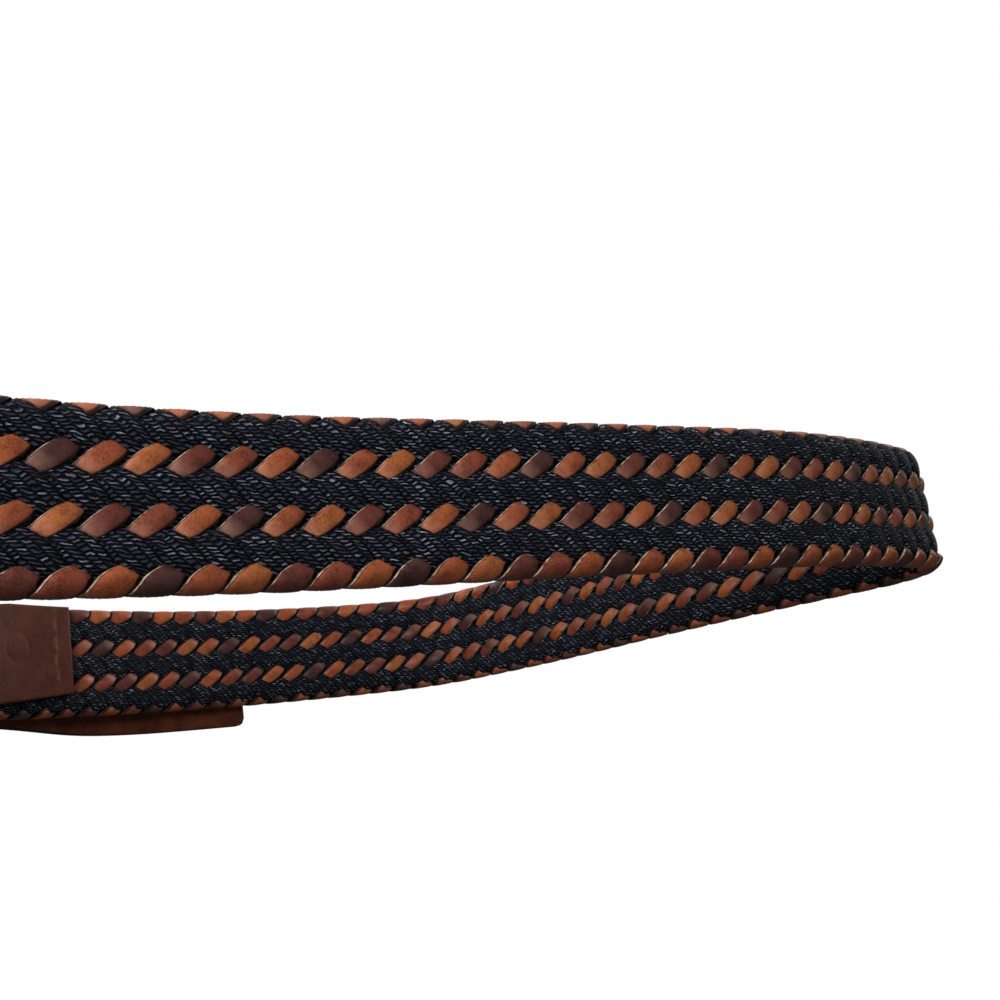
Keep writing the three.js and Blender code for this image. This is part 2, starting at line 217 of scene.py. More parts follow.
# a flat grid is wrapped to its place, its seam welded and its ends filled
def wrapGrid(name, alongCount, aroundCount, place, ring=False):
    bm = bmesh.new()
    bm.loops.layers.uv.new("UVMap")
    bmesh.ops.create_grid(bm, x_segments=alongCount, y_segments=aroundCount, size=0.5, calc_uvs=True)
    flatCo = np.array([v.co[:2] for v in bm.verts]) + 0.5
    points = place(flatCo[:, 0], np.rint(flatCo[:, 1] * aroundCount).astype(int))
    points = (points + np.array([shift[0], shift[1], 0])) * mm
    for vertex, point in zip(bm.verts, points):
        vertex.co = point
    bmesh.ops.remove_doubles(bm, verts=bm.verts, dist=1e-6)
    if not ring:
        bmesh.ops.holes_fill(bm, edges=bm.edges, sides=0)
    bmesh.ops.recalc_face_normals(bm, faces=bm.faces)
    mesh = bpy.data.meshes.new(name)
    bm.to_mesh(mesh)
    bm.free()
    mesh.shade_smooth()
    piece = bpy.data.objects.new(name, mesh)
    bpy.context.scene.collection.objects.link(piece)
    return piece


def dress(piece, material, slot, *nodes):  # finish, a slot that is not used, and the solids that the piece stands for; the piece goes under the root body
    piece.data.materials.append(material)
    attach(piece, "root")
    if nodes:
        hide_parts(*nodes)
    return piece


# sRGB hex to linear
def hexColour(code):
    values = [int(code[i:i + 2], 16) / 255 for i in (0, 2, 4)]
    return [v / 12.92 if v <= 0.04045 else ((v + 0.055) / 1.055) ** 2.4 for v in values] + [1]


def addNode(tree, kind, inputs=None, **settings):  # inputs are values or other nodes' sockets
    node = tree.nodes.new(kind)
    for key, value in settings.items():
        setattr(node, key, value)
    for key, value in (inputs or {}).items():
        if isinstance(value, bpy.types.NodeSocket):
            tree.links.new(value, node.inputs[key])
        else:
            node.inputs[key].default_value = value
    return node


def newMaterial(name):
    material = bpy.data.materials.new(name)
    material.use_nodes = True
    tree = material.node_tree
    tree.nodes.clear()
    output = tree.nodes.new("ShaderNodeOutputMaterial")
    shader = tree.nodes.new("ShaderNodeBsdfPrincipled")
    tree.links.new(shader.outputs["BSDF"], output.inputs["Surface"])
    return material, tree, shader


# dyed and glazed vegetable-tanned strap leather, die cut: mottled dye, fine grain, painted shade round the borders
dyes = {
    "espresso": {"face": "593530", "deep": "2c1512"},
    "orange": {"face": "ba6439", "deep": "7a371c"},
    "redBrown": {"face": "9e5038", "deep": "5b281a"},
    "darkRed": {"face": "7a3e33", "deep": "421d17"},
    "tan": {"face": "bf6d3e", "deep": "80421f"},
    "rust": {"face": "b05b39", "deep": "70341d"},
}
dyeOrder = ["espresso", "orange", "redBrown", "darkRed", "tan", "rust"]


# how a strip is coloured where it shows: painted shade, near black, round its borders where it meets its neighbours
# and dives under the cords, and a painted pale sheen where it bends down
paintedLightAndCut = {
    "halfLength": 0.47,  # of the part that shows, as a share of the pitch
    "atEdge": 0.35,  # how much longer it shows round the upper edge of the belt
    "face": (1.5, 8.5),  # from this to that point of the profile
    "pale": "d09a80",
    "dark": "0d0705",
    "cut": 0.8,  # the bare cut's place on the profile
    "cutHalf": (0.42, 0.25),  # from its middle, where it has faded and where it is whole
    "cutColours": ("4e2d20", "d9b79b"),
}


def stripLeather(name, dye, number):
    material, tree, shader = newMaterial(name)
    coords = addNode(tree, "ShaderNodeTexCoord")
    spot = coords.outputs["Object"]
    around = addNode(tree, "ShaderNodeSeparateXYZ", {"Vector": coords.outputs["UV"]})
    # along the strip, from -1 to 1 between the middles of two dives, and across its face from -1 to 1
    points = len(stripProfile)
    low, high = paintedLightAndCut["face"]
    across = addNode(tree, "ShaderNodeMapRange", {
        "Value": around.outputs["Y"], "From Min": low / points, "From Max": high / points,
        "To Min": -1, "To Max": 1}, clamp=False)
    pitches = (braid["end"] - braid["start"]) / braid["pitch"]
    first = braid["start"] / braid["pitch"] - number + 1
    cut = 0.8 * strip["width"] / 2 * math.cos(2 * slant) / (2 * braid["pitch"] * math.sin(slant))
    run = addNode(tree, "ShaderNodeMath", {
        0: around.outputs["X"], 1: pitches, 2: first}, operation="MULTIPLY_ADD")
    slanted = addNode(tree, "ShaderNodeMath", {0: across.outputs[0], 1: cut, 2: run.outputs[0]},
                      operation="MULTIPLY_ADD")
    turned = addNode(tree, "ShaderNodeMath", {0: slanted.outputs[0], 1: 2}, operation="FLOORED_MODULO")
    fromMiddle = addNode(tree, "ShaderNodeMath", {0: turned.outputs[0], 1: 1}, operation="SUBTRACT")
    half = braid["columns"] / 2
    whole = addNode(tree, "ShaderNodeMath", {
        0: run.outputs[0], 1: half / 2 - 1 + braid["turned"]}, operation="ADD")
    belt = addNode(tree, "ShaderNodeMath", {0: whole.outputs[0], 1: half}, operation="FLOORED_MODULO")
    offEdge = addNode(tree, "ShaderNodeMath", {0: belt.outputs[0], 1: half / 2}, operation="SUBTRACT")
    fromEdge = addNode(tree, "ShaderNodeMath", {0: offEdge.outputs[0]}, operation="ABSOLUTE")
    height = addNode(tree, "ShaderNodeSeparateXYZ", {"Vector": spot})
    upper = addNode(tree, "ShaderNodeMapRange", {
        "Value": height.outputs["Z"], "From Min": 0.4 * braid["width"] * mm, "From Max": 0.6 * braid["width"] * mm,
        "To Max": paintedLightAndCut["atEdge"]})
    edgeRow = addNode(tree, "ShaderNodeMapRange", {
        "Value": fromEdge.outputs[0], "From Min": 1.1, "From Max": 0.8})
    showing = addNode(tree, "ShaderNodeMath", {
        0: edgeRow.outputs[0], 1: upper.outputs[0], 2: paintedLightAndCut["halfLength"]}, operation="MULTIPLY_ADD")
    reach = addNode(tree, "ShaderNodeMath", {
        0: fromMiddle.outputs[0], 1: showing.outputs[0]}, operation="DIVIDE")
    square = addNode(tree, "ShaderNodeMath", {0: reach.outputs[0], 1: reach.outputs[0]}, operation="MULTIPLY")
    ends = addNode(tree, "ShaderNodeMath", {0: square.outputs[0], 1: square.outputs[0]}, operation="MULTIPLY")
    wide = addNode(tree, "ShaderNodeMath", {0: across.outputs[0], 1: across.outputs[0]}, operation="MULTIPLY")
    sides = addNode(tree, "ShaderNodeMath", {0: wide.outputs[0], 1: wide.outputs[0]}, operation="MULTIPLY")
    border = addNode(tree, "ShaderNodeMath", {0: ends.outputs[0], 1: sides.outputs[0]}, operation="ADD")
    # painted shade: near black round the border of the part that shows, where it meets its neighbours and dives
    # under the cords
    paintedGapShade = addNode(tree, "ShaderNodeMapRange", {
        "Value": border.outputs[0], "From Min": 0.55, "From Max": 1.1, "To Min": 1, "To Max": 0.05})
    mottle = addNode(tree, "ShaderNodeTexNoise", {"Vector": spot, "Scale": 350, "Detail": 3})
    speck = addNode(tree, "ShaderNodeTexNoise", {
        "Vector": spot, "Scale": 2600, "Detail": 2, "Roughness": 0.7})
    part = addNode(tree, "ShaderNodeMath", {0: mottle.outputs["Fac"], 1: 0.7}, operation="MULTIPLY")
    total = addNode(tree, "ShaderNodeMath", {0: part.outputs[0], 1: speck.outputs["Fac"]}, operation="ADD")
    tone = addNode(tree, "ShaderNodeMapRange", {
        "Value": total.outputs[0], "From Min": 0.62, "From Max": 0.98})
    face = addNode(tree, "ShaderNodeMix", {
        "Factor": tone.outputs[0], "A": hexColour(dye["deep"]), "B": hexColour(dye["face"])}, data_type="RGBA")
    # painted sheen: towards one of its ends, where it bends down, the strip is painted paler, broken up by the
    # mottle
    bent = addNode(tree, "ShaderNodeMapRange", {
        "Value": reach.outputs[0], "From Min": 0.2, "From Max": 0.8, "To Max": 0.5})
    paintedSheenMask = addNode(tree, "ShaderNodeMath", {
        0: bent.outputs[0], 1: mottle.outputs["Fac"]}, operation="MULTIPLY")
    sheen = addNode(tree, "ShaderNodeMix", {
        "Factor": paintedSheenMask.outputs[0], "A": face.outputs["Result"], "B": hexColour(paintedLightAndCut["pale"])},
        data_type="RGBA")
    colour = addNode(tree, "ShaderNodeMix", {
        "Factor": paintedGapShade.outputs[0], "A": hexColour(paintedLightAndCut["dark"]), "B": sheen.outputs["Result"]}, data_type="RGBA")
    fromCut = addNode(tree, "ShaderNodeMath", {
        0: around.outputs["Y"], 1: paintedLightAndCut["cut"] / points}, operation="SUBTRACT")
    cutAway = addNode(tree, "ShaderNodeMath", {0: fromCut.outputs[0]}, operation="ABSOLUTE")
    faded, full = paintedLightAndCut["cutHalf"]
    bare = addNode(tree, "ShaderNodeMapRange", {
        "Value": cutAway.outputs[0], "From Min": faded / points, "From Max": full / points})
    fibre = addNode(tree, "ShaderNodeTexNoise", {"Vector": spot, "Scale": 700, "Detail": 3})
    wearAndPaintedHighlight = addNode(tree, "ShaderNodeMapRange", {
        "Value": fibre.outputs["Fac"], "From Min": 0.35, "From Max": 0.65})
    dull, clean = paintedLightAndCut["cutColours"]
    raw = addNode(tree, "ShaderNodeMix", {
        "Factor": wearAndPaintedHighlight.outputs[0], "A": hexColour(dull), "B": hexColour(clean)}, data_type="RGBA")
    edged = addNode(tree, "ShaderNodeMix", {
        "Factor": bare.outputs[0], "A": colour.outputs["Result"], "B": raw.outputs["Result"]}, data_type="RGBA")
    tree.links.new(edged.outputs["Result"], shader.inputs["Base Color"])
    grain = addNode(tree, "ShaderNodeTexVoronoi", {"Vector": spot, "Scale": 2900})
    relief = addNode(tree, "ShaderNodeMath", {
        0: grain.outputs["Distance"], 1: speck.outputs["Fac"]}, operation="ADD")
    bump = addNode(tree, "ShaderNodeBump", {
        "Height": relief.outputs[0], "Strength": 0.25, "Distance": 0.0001})
    tree.links.new(bump.outputs["Normal"], shader.inputs["Normal"])
    gloss = addNode(tree, "ShaderNodeMapRange", {
        "Value": mottle.outputs["Fac"], "To Min": 0.3, "To Max": 0.5})
    tree.links.new(gloss.outputs[0], shader.inputs["Roughness"])
    shader.inputs["Specular IOR Level"].default_value = 0.45
    return material


# waxed cotton cord plaited from yarns: near-black navy, with painted shade in the dips between yarns and a painted
# glint on the crown of each yarn
plaitLook = {
    "columns": 10,  # of slanted yarns, once round the cord
    "yarn": 1.35,  # millimetres along the cord from one yarn to the next
    "slope": 1.55,  # yarns that a yarn slides along while it crosses its column
    "lean": (0.5, 1),  # shares of that slope, in every other column
    "valley": "020305",
    "crown": "51586c",
    "glint": "bcc2d2",
}


def plaitedCord(name):
    length = (braid["end"] - braid["start"]) / math.cos(slant)
    material, tree, shader = newMaterial(name)
    coords = addNode(tree, "ShaderNodeTexCoord")
    uv = addNode(tree, "ShaderNodeSeparateXYZ", {"Vector": coords.outputs["UV"]})
    spot = coords.outputs["Object"]
    place = addNode(tree, "ShaderNodeMath", {
        0: uv.outputs["Y"], 1: plaitLook["columns"]}, operation="MULTIPLY")
    number = addNode(tree, "ShaderNodeMath", {0: place.outputs[0]}, operation="FLOOR")
    part = addNode(tree, "ShaderNodeMath", {0: place.outputs[0]}, operation="FRACT")
    across = addNode(tree, "ShaderNodeMath", {0: part.outputs[0], 1: 0.5}, operation="SUBTRACT")
    odd = addNode(tree, "ShaderNodeMath", {0: number.outputs[0], 1: 2}, operation="MODULO")
    least, most = plaitLook["lean"]
    way = addNode(tree, "ShaderNodeMapRange", {"Value": odd.outputs[0], "To Min": least, "To Max": most})
    lean = addNode(tree, "ShaderNodeMath", {0: across.outputs[0], 1: way.outputs[0]}, operation="MULTIPLY")
    skew = addNode(tree, "ShaderNodeMath", {0: lean.outputs[0], 1: plaitLook["slope"]}, operation="MULTIPLY")
    run = addNode(tree, "ShaderNodeMath", {
        0: uv.outputs["X"], 1: length / plaitLook["yarn"]}, operation="MULTIPLY")
    slid = addNode(tree, "ShaderNodeMath", {0: run.outputs[0], 1: skew.outputs[0]}, operation="ADD")
    half = addNode(tree, "ShaderNodeMath", {0: odd.outputs[0], 1: 0.5}, operation="MULTIPLY")
    offset = addNode(tree, "ShaderNodeMath", {0: slid.outputs[0], 1: half.outputs[0]}, operation="ADD")
    wander = addNode(tree, "ShaderNodeTexNoise", {"Vector": spot, "Scale": 430, "Detail": 3})
    loose = addNode(tree, "ShaderNodeMath", {0: wander.outputs["Fac"], 1: 2.1}, operation="MULTIPLY")
    phase = addNode(tree, "ShaderNodeMath", {0: offset.outputs[0], 1: loose.outputs[0]}, operation="ADD")
    turned = addNode(tree, "ShaderNodeMath", {0: phase.outputs[0], 1: 2 * math.pi}, operation="MULTIPLY")
    swell = addNode(tree, "ShaderNodeMath", {0: turned.outputs[0]}, operation="SINE")
    yarn = addNode(tree, "ShaderNodeMapRange", {"Value": swell.outputs[0], "From Min": -1, "From Max": 0.7})
    # a yarn dips under the next column at both its ends
    ends = addNode(tree, "ShaderNodeMath", {0: across.outputs[0], 1: across.outputs[0]}, operation="MULTIPLY")
    dip = addNode(tree, "ShaderNodeMapRange", {"Value": ends.outputs[0], "From Min": 0.25, "From Max": 0.08})
    body = addNode(tree, "ShaderNodeMath", {0: yarn.outputs[0], 1: dip.outputs[0]}, operation="MULTIPLY")
    # fibres run along each yarn, a few of them raised; the colour is painted lighter on the raised crowns, with
    # painted shade in the dips
    finer = addNode(tree, "ShaderNodeMath", {0: phase.outputs[0], 1: 1.9}, operation="MULTIPLY")
    fibreRun = addNode(tree, "ShaderNodeMath", {0: number.outputs[0], 1: 5.3}, operation="MULTIPLY")
    fibreSpot = addNode(tree, "ShaderNodeCombineXYZ", {
        "X": finer.outputs[0], "Y": across.outputs[0], "Z": fibreRun.outputs[0]})
    fibre = addNode(tree, "ShaderNodeTexNoise", {"Vector": fibreSpot.outputs[0], "Scale": 1.3, "Detail": 2})
    strandy = addNode(tree, "ShaderNodeMath", {
        0: fibre.outputs["Fac"], 1: body.outputs[0]}, operation="MULTIPLY")
    height = addNode(tree, "ShaderNodeMath", {0: body.outputs[0], 1: strandy.outputs[0]}, operation="ADD")
    # painted shade: near black where the yarns dip, painted lighter on their crowns
    navy = addNode(tree, "ShaderNodeMix", {
        "Factor": strandy.outputs[0], "A": hexColour(plaitLook["valley"]), "B": hexColour(plaitLook["crown"])},
        data_type="RGBA")
    # painted glints: each yarn has its own share of them, on its crown
    begun = addNode(tree, "ShaderNodeMath", {0: phase.outputs[0], 1: 0.25}, operation="ADD")
    which = addNode(tree, "ShaderNodeMath", {0: begun.outputs[0]}, operation="FLOOR")
    own = addNode(tree, "ShaderNodeCombineXYZ", {"X": which.outputs[0], "Y": number.outputs[0]})
    chance = addNode(tree, "ShaderNodeTexWhiteNoise", {"Vector": own.outputs[0]})
    # painted glint, where a yarn's crown is highest
    crest = addNode(tree, "ShaderNodeMapRange", {
        "Value": strandy.outputs[0], "From Min": 0.32, "From Max": 0.72})
    few = addNode(tree, "ShaderNodeMapRange", {
        "Value": chance.outputs["Value"], "From Min": 0.4, "From Max": 1})
    lit = addNode(tree, "ShaderNodeMath", {0: crest.outputs[0], 1: few.outputs[0]}, operation="MULTIPLY")
    bright = addNode(tree, "ShaderNodeMix", {
        "Factor": lit.outputs[0], "A": navy.outputs["Result"], "B": hexColour(plaitLook["glint"])},
        data_type="RGBA")
    tree.links.new(bright.outputs["Result"], shader.inputs["Base Color"])
    bump = addNode(tree, "ShaderNodeBump", {"Height": height.outputs[0], "Strength": 1, "Distance": 0.0005})
    tree.links.new(bump.outputs["Normal"], shader.inputs["Normal"])
    shader.inputs["Roughness"].default_value = 0.33
    shader.inputs["Specular IOR Level"].default_value = 0.13
    return material


def laidStrand(along, row, lift):
    out, up = aroundTube(row, lift)
    return onBelt(along, out, up)


def makeStrips():
    profile = np.array(stripProfile + stripProfile[:1])
    waves = (braid["end"] - braid["start"]) / (2 * braid["pitch"])
    count = round(waves * strip["perWave"])
    made = [stripLeather("leather_" + name, dyes[name], number) for number, name in enumerate(dyeOrder)]
    for number in range(braid["columns"]):
        def place(share, index):
            along = braid["start"] + share * (braid["end"] - braid["start"])
            row = along / braid["pitch"] - number
            across = profile[index, 0] * strip["width"] / 2 * (1 + slowNoise(number, along, 9, 0.05))
            shown = np.clip(wave(strip, row), 0, 1)
            across = across * (1 - strip["pinch"] * (1 - shown) + strip["spread"] * nearEdge(row))
            roll = math.tan(math.radians(strip["roll"])) * (1 + slowNoise(number + 50, along, 8, 0.5))
            spare = slowNoise(number + 90, along, 8, 0.08)
            along = along - across * math.sin(slant)
            row = row + across * math.cos(slant) / column
            over = wave(strip, (along / braid["pitch"] + row - number) / 2)  # it dives along the cords
            over = over + strip["atEdge"] * nearEdge(row)
            lift = level(over, strip["lift"]) + profile[index, 1] * strip["thickness"] / 2
            return laidStrand(along, row, lift - roll * across * (0.6 + 0.4 * over) + spare)
        piece = wrapGrid(f"leather_strip_{number + 1:02d}", count, len(stripProfile), place)
        piece.data.set_sharp_from_angle(angle=math.radians(48))
        dress(piece, made[number % len(made)], "braid", *(["braided_band"] if number == 0 else []))
    print("leather strips", count)


def cordSection():  # across and height round a cord, from -1 to 1, in even steps
    turn = np.linspace(0, 2 * math.pi, 721)
    wide = np.sign(np.cos(turn)) * np.abs(np.cos(turn)) ** cord["fullness"]
    high = np.sign(np.sin(turn)) * np.abs(np.sin(turn)) ** cord["fullness"]
    real = np.hypot(np.diff(wide) * cord["width"] * braid["pitch"] * math.sin(slant),
                    np.diff(high) * cord["thickness"])
    walked = np.concatenate([[0], np.cumsum(real)])
    even = np.linspace(0, walked[-1], cord["sides"] + 1)
    return np.interp(even, walked, wide), np.interp(even, walked, high)


def makeCords():
    sectionWide, sectionHigh = cordSection()
    waves = (braid["end"] - braid["start"]) / (2 * braid["pitch"])
    count = round(waves * cord["perWave"])
    finish = plaitedCord("navy_cord")
    for number in range(braid["columns"]):
        def place(share, index):
            along = braid["start"] + share * (braid["end"] - braid["start"])
            row = number + 0.5 - along / braid["pitch"]
            wide = sectionWide[index] * (1 + slowNoise(number + 170, along, 5, 0.04))
            high = sectionHigh[index]
            spare = slowNoise(number + 130, along, 6, 0.08)
            across = wide * cord["width"] * braid["pitch"] * math.sin(slant) / 2
            along = along + across * math.sin(slant)
            row = row + across * math.cos(slant) / column
            along = along - cord["sway"] * braid["pitch"] * np.sin(math.pi * row) / math.pi
            # it dives along the strips, where they come up
            over = wave(cord, (number + 2.5 - along / braid["pitch"] + row) / 2)
            over = over + cord["atEdge"] * nearEdge(row)
            lift = level(over, cord["lift"]) + high * cord["thickness"] / 2 + spare
            return laidStrand(along, row, lift)
        piece = wrapGrid(f"navy_cord_{number + 1:02d}", count, cord["sides"], place)
        dress(piece, finish, "braid")
    print("cords", count)


makeStrips()
makeCords()

clearance = 0.3  # between pieces that touch
edgeTrim = {"face": 0.02, "side": 0.1}  # so the rounded edges stay inside the leather's size

tab = {
    "ply": 1.6,
    "length": 69,  # from the heel bar to its straight end
    "width": 30,
    "endWidth": 27.6,
    "floorGap": 0.4,
    "settle": 46,  # from the heel bar to where its edge has come down
    "seam": 38,  # from the heel bar to the end of the braid between its plies
    "ramp": 8,
    "fold": 7,  # from the heel bar to where the plies lie together
    "ridge": 6,  # from its end to the pressed line across the inner ply
    "ridgeShape": (0.07, 0.5),  # its height and spread
    "press": (20.5, -1.5, 4.4),  # a round press mark: from the end, above the middle, radius
    "pressShape": (0.12, 0.6),  # its depth and spread
    "thinned": (0.5, 0.15),  # within this of its end the ply loses up to this share
}
strap = {
    "thickness": 3.2,
    "width": 30,
    "reach": 139,  # from the heel bar to its tip
    "tipHeight": 26.2,
    "riseAt": (38, 61.5, 76.5, 99, 139),  # from the heel bar, where it has come up by these shares
    "rise": (0, 0.4, 0.8, 0.97, 1),
    "tipGap": 0.8,
    "tipCorner": 2.5,
    "seam": 72,  # from the heel bar back to the other end of the braid
    "sleeve": 32,
    "ramp": 10,
    "hole": 5,
    "holeStep": 25,
    "holes": 5,
    "prongHole": -6.8,
    "prongStretch": 7.4 / 5,
}
keeper = {"width": 11, "place": 13, "wall": 1.6, "sideTrim": 0.15}
buckle = {
    "length": 42,
    "sideBar": 4,
    "heelBar": 3.6,
    "thickness": 3.2,
    "corner": 6,  # along the middle of the bars
    "slack": 0.75,
    "floorGap": 0.5,
    "frontOut": 5.5,
    "prong": 2.8,
}

strapMiddle = buckle["floorGap"] + buckle["sideBar"] + buckle["slack"] + strap["width"] / 2
plyOut = braid["thickness"] / 2 + clearance + tab["ply"] / 2
plyTogether = (tab["ply"] + clearance) / 2
foldRadius = math.hypot(buckle["heelBar"], buckle["thickness"]) / 2 + clearance + tab["ply"] / 2
overFold = foldRadius + tab["ply"] / 2 + clearance + strap["thickness"] / 2
overTab = plyOut + tab["ply"] / 2 + clearance + strap["thickness"] / 2
overBraid = braid["thickness"] / 2 + strap["tipGap"] + strap["thickness"] / 2
frontBar = -(buckle["length"] - buckle["heelBar"] / 2 - buckle["sideBar"] / 2)
underFront = buckle["frontOut"] - buckle["thickness"] / 2 - clearance - strap["thickness"] / 2


def tabMiddle(along):
    low = tab["floorGap"]
    heights = [strapMiddle, low + tab["width"] / 2, low + tab["endWidth"] / 2]
    return np.interp(along, [0, tab["settle"], tab["length"]], heights)


def tabHalf(along):
    return np.interp(along, [tab["settle"], tab["length"]], [tab["width"] / 2, tab["endWidth"] / 2])


def plyLine(along):  # out from the middle line to the middle of a ply of the tab
    knots = [0, tab["fold"], tab["seam"] - tab["ramp"], tab["seam"]]
    return np.interp(along, knots, [foldRadius, plyTogether, plyTogether, plyOut])


def eased(along, knots, values, reach=9, offsets=7):  # straight from knot to knot, eased past the tab
    soft = [np.interp(along + step, knots, values) for step in np.linspace(-reach, reach, offsets)]
    return np.where(along > tab["seam"] + reach, np.mean(soft, axis=0), np.interp(along, knots, values))


def strapLine(along):  # out and up of the strap's middle
    rise = eased(along, strap["riseAt"], strap["rise"])
    last = strap["riseAt"][2:]
    knots = [-strap["seam"], frontBar - 4, frontBar + 4, -foldRadius - tab["ply"], 0, tab["seam"], *last]
    outs = [0, underFront, underFront, overFold, overFold, overTab, overTab, (overTab + overBraid) / 2, overBraid]
    up = strapMiddle + (strap["tipHeight"] - strapMiddle) * rise
    back = np.interp(along, [-strap["seam"], frontBar - 4], [middle, strapMiddle])
    return eased(along, knots, outs), np.where(along < frontBar - 4, back, up)


# section of flat leather, from -1 to 1 both ways: two faces with level points and rounded edges
def leatherSection(across, edge=4):
    face = [(x, 1.0) for x in np.linspace(-1, 1, across + 1)]
    turns = np.linspace(0, math.pi, edge + 2)[1:-1]
    right = [(1 + 0.01 * math.sin(t), math.cos(t)) for t in turns]
    points = face + right
    points += [(-x, -y) for x, y in points]
    return np.array(points + points[:1])


# bridle leather, dyed through, waxed and pressed: dark mottling, small pores, painted edges
def bridleLeather(name, look, around, across, paintedHighlightAt=None):
    material, tree, shader = newMaterial(name)
    coords = addNode(tree, "ShaderNodeTexCoord")
    spot = coords.outputs["Object"]
    cloud = addNode(tree, "ShaderNodeTexNoise", {
        "Vector": spot, "Scale": 160, "Detail": 5, "Roughness": 0.65})
    speck = addNode(tree, "ShaderNodeTexNoise", {"Vector": spot, "Scale": 1600, "Detail": 2})
    mix = addNode(tree, "ShaderNodeMath", {0: speck.outputs["Fac"], 1: 0.25, 2: cloud.outputs["Fac"]},
                  operation="MULTIPLY_ADD")
    tone = addNode(tree, "ShaderNodeMapRange", {"Value": mix.outputs[0], "From Min": 0.42, "From Max": 0.83})
    colour = addNode(tree, "ShaderNodeMix", {
        "Factor": tone.outputs[0], "A": hexColour(look["deep"]), "B": hexColour(look["face"])}, data_type="RGBA")
    uv = addNode(tree, "ShaderNodeSeparateXYZ", {"Vector": coords.outputs["UV"]})
    twice = addNode(tree, "ShaderNodeMath", {0: uv.outputs["Y"], 1: 2}, operation="MULTIPLY")
    turn = addNode(tree, "ShaderNodeMath", {0: twice.outputs[0]}, operation="FRACT")
    share = 2 * across / around
    paint = addNode(tree, "ShaderNodeMapRange", {
        "Value": turn.outputs[0], "From Min": share, "From Max": share + 0.02})
    edged = addNode(tree, "ShaderNodeMix", {
        "Factor": paint.outputs[0], "A": colour.outputs["Result"], "B": hexColour(look["edge"])},
        data_type="RGBA")
    finished = edged.outputs["Result"]
    if paintedHighlightAt is not None:  # a painted highlight along the pressed line, broken here and there
        fromCrease = addNode(tree, "ShaderNodeMath", {0: uv.outputs["X"], 1: paintedHighlightAt}, operation="SUBTRACT")
        besideCrease = addNode(tree, "ShaderNodeMath", {0: fromCrease.outputs[0]}, operation="ABSOLUTE")
        line = addNode(tree, "ShaderNodeMapRange", {
            "Value": besideCrease.outputs[0], "From Min": 0.008, "From Max": 0.001})
        highlightBreakup = addNode(tree, "ShaderNodeTexNoise", {"Vector": spot, "Scale": 420, "Detail": 3})
        broken = addNode(tree, "ShaderNodeMapRange", {
            "Value": highlightBreakup.outputs["Fac"], "From Min": 0.42, "From Max": 0.75, "To Max": 0.5})
        crease = addNode(tree, "ShaderNodeMath", {
            0: line.outputs[0], 1: broken.outputs[0]}, operation="MULTIPLY")
        pale = addNode(tree, "ShaderNodeMix", {
            "Factor": crease.outputs[0], "A": finished, "B": hexColour(look["wearAndPaintedHighlight"])}, data_type="RGBA")
        finished = pale.outputs["Result"]
    tree.links.new(finished, shader.inputs["Base Color"])
    pores = addNode(tree, "ShaderNodeTexVoronoi", {"Vector": spot, "Scale": 1900})
    relief = addNode(tree, "ShaderNodeMath", {
        0: pores.outputs["Distance"], 1: speck.outputs["Fac"]}, operation="ADD")
    bump = addNode(tree, "ShaderNodeBump", {
        "Height": relief.outputs[0], "Strength": 0.3, "Distance": 0.00015})
    tree.links.new(bump.outputs["Normal"], shader.inputs["Normal"])
    gloss = addNode(tree, "ShaderNodeMapRange", {"Value": cloud.outputs["Fac"], "To Min": 0.4, "To Max": 0.7})
    tree.links.new(gloss.outputs[0], shader.inputs["Roughness"])
    shader.inputs["Specular IOR Level"].default_value = 0.12
    return material


def makeTab():
    across = 40
    section = leatherSection(across)
    around = len(section) - 1
    bend = math.pi * foldRadius
    total = 2 * tab["length"] + bend

    def place(share, index):
        path = share * total - tab["length"] - bend / 2  # from the middle of the fold
        inFold = np.abs(path) < bend / 2
        side = np.sign(path)
        along = np.where(inFold, 0, np.abs(path) - bend / 2)
        angle = np.clip(path / foldRadius, -math.pi / 2, math.pi / 2)
        half = tab["ply"] / 2 - edgeTrim["face"]
        fromEnd = tab["length"] - along
        inner = (side < 0) & (section[index, 1] > 0.99)
        up = tabMiddle(along) + section[index, 0] * (tabHalf(along) - edgeTrim["side"])
        height, spread = tab["ridgeShape"]
        relief = height * np.exp(-((fromEnd - tab["ridge"]) / spread) ** 2)
        away, above, radius = tab["press"]
        ring = np.hypot(fromEnd - away, up - tabMiddle(along) - above)
        depth, spread = tab["pressShape"]
        relief -= depth * np.exp(-((ring - radius) / spread) ** 2)
        reach, loss = tab["thinned"]
        soft = np.clip(fromEnd / reach, 0, 1) * loss + 1 - loss
        high = section[index, 1] * half * soft + np.where(inner, relief, 0)
        reach = np.where(inFold, foldRadius, plyLine(along)) + high
        straight = onBelt(along, side * reach, up)
        curved = onBelt(-np.cos(angle) * reach * inFold, np.sin(angle) * reach, up)
        return np.where(inFold[:, None], curved, straight)

    piece = wrapGrid("tab_leather", 330, around, place)
    # the last colour is the painted highlight along the pressed line
    look = {"face": "683526", "deep": "452014", "edge": "20100c", "wearAndPaintedHighlight": "a87a5e"}
    finish = bridleLeather("bridle_leather_tab", look, around, across, paintedHighlightAt=tab["ridge"] / total)
    dress(piece, finish, "tab_leather", "buckle_tab")
    print("tab")
    return piece


